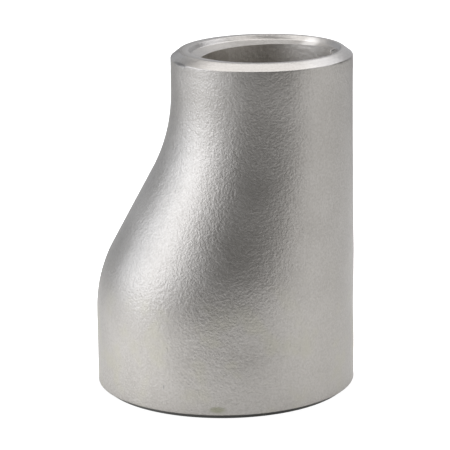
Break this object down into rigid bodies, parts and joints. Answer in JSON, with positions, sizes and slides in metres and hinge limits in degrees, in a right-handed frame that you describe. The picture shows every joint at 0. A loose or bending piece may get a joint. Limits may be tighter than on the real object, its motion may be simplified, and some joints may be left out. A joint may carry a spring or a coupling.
{
  "type": "eccentric reducer",
  "caption": "Pipe reducer whose wide round end draws in to a narrower offset end along a sloping side, while the opposite side stays straight; both ends are bevelled for butt welding.",
  "frame": {"origin": "centre of the large end's face, on the large end's axis, where the part stands on its land", "axes": "+Z along the pipe run, from the large end to the small end; +X towards the straight side of the wall, so the small end's axis is parallel to Z at x = 0.00745"},
  "size_m": [0.0484, 0.0484, 0.064],
  "materials": {
    "blasted_metal": "satin"
  },
  "bodies": {
    "root": {"reducer_body": "blasted_metal"}
  },
  "joints": []
}
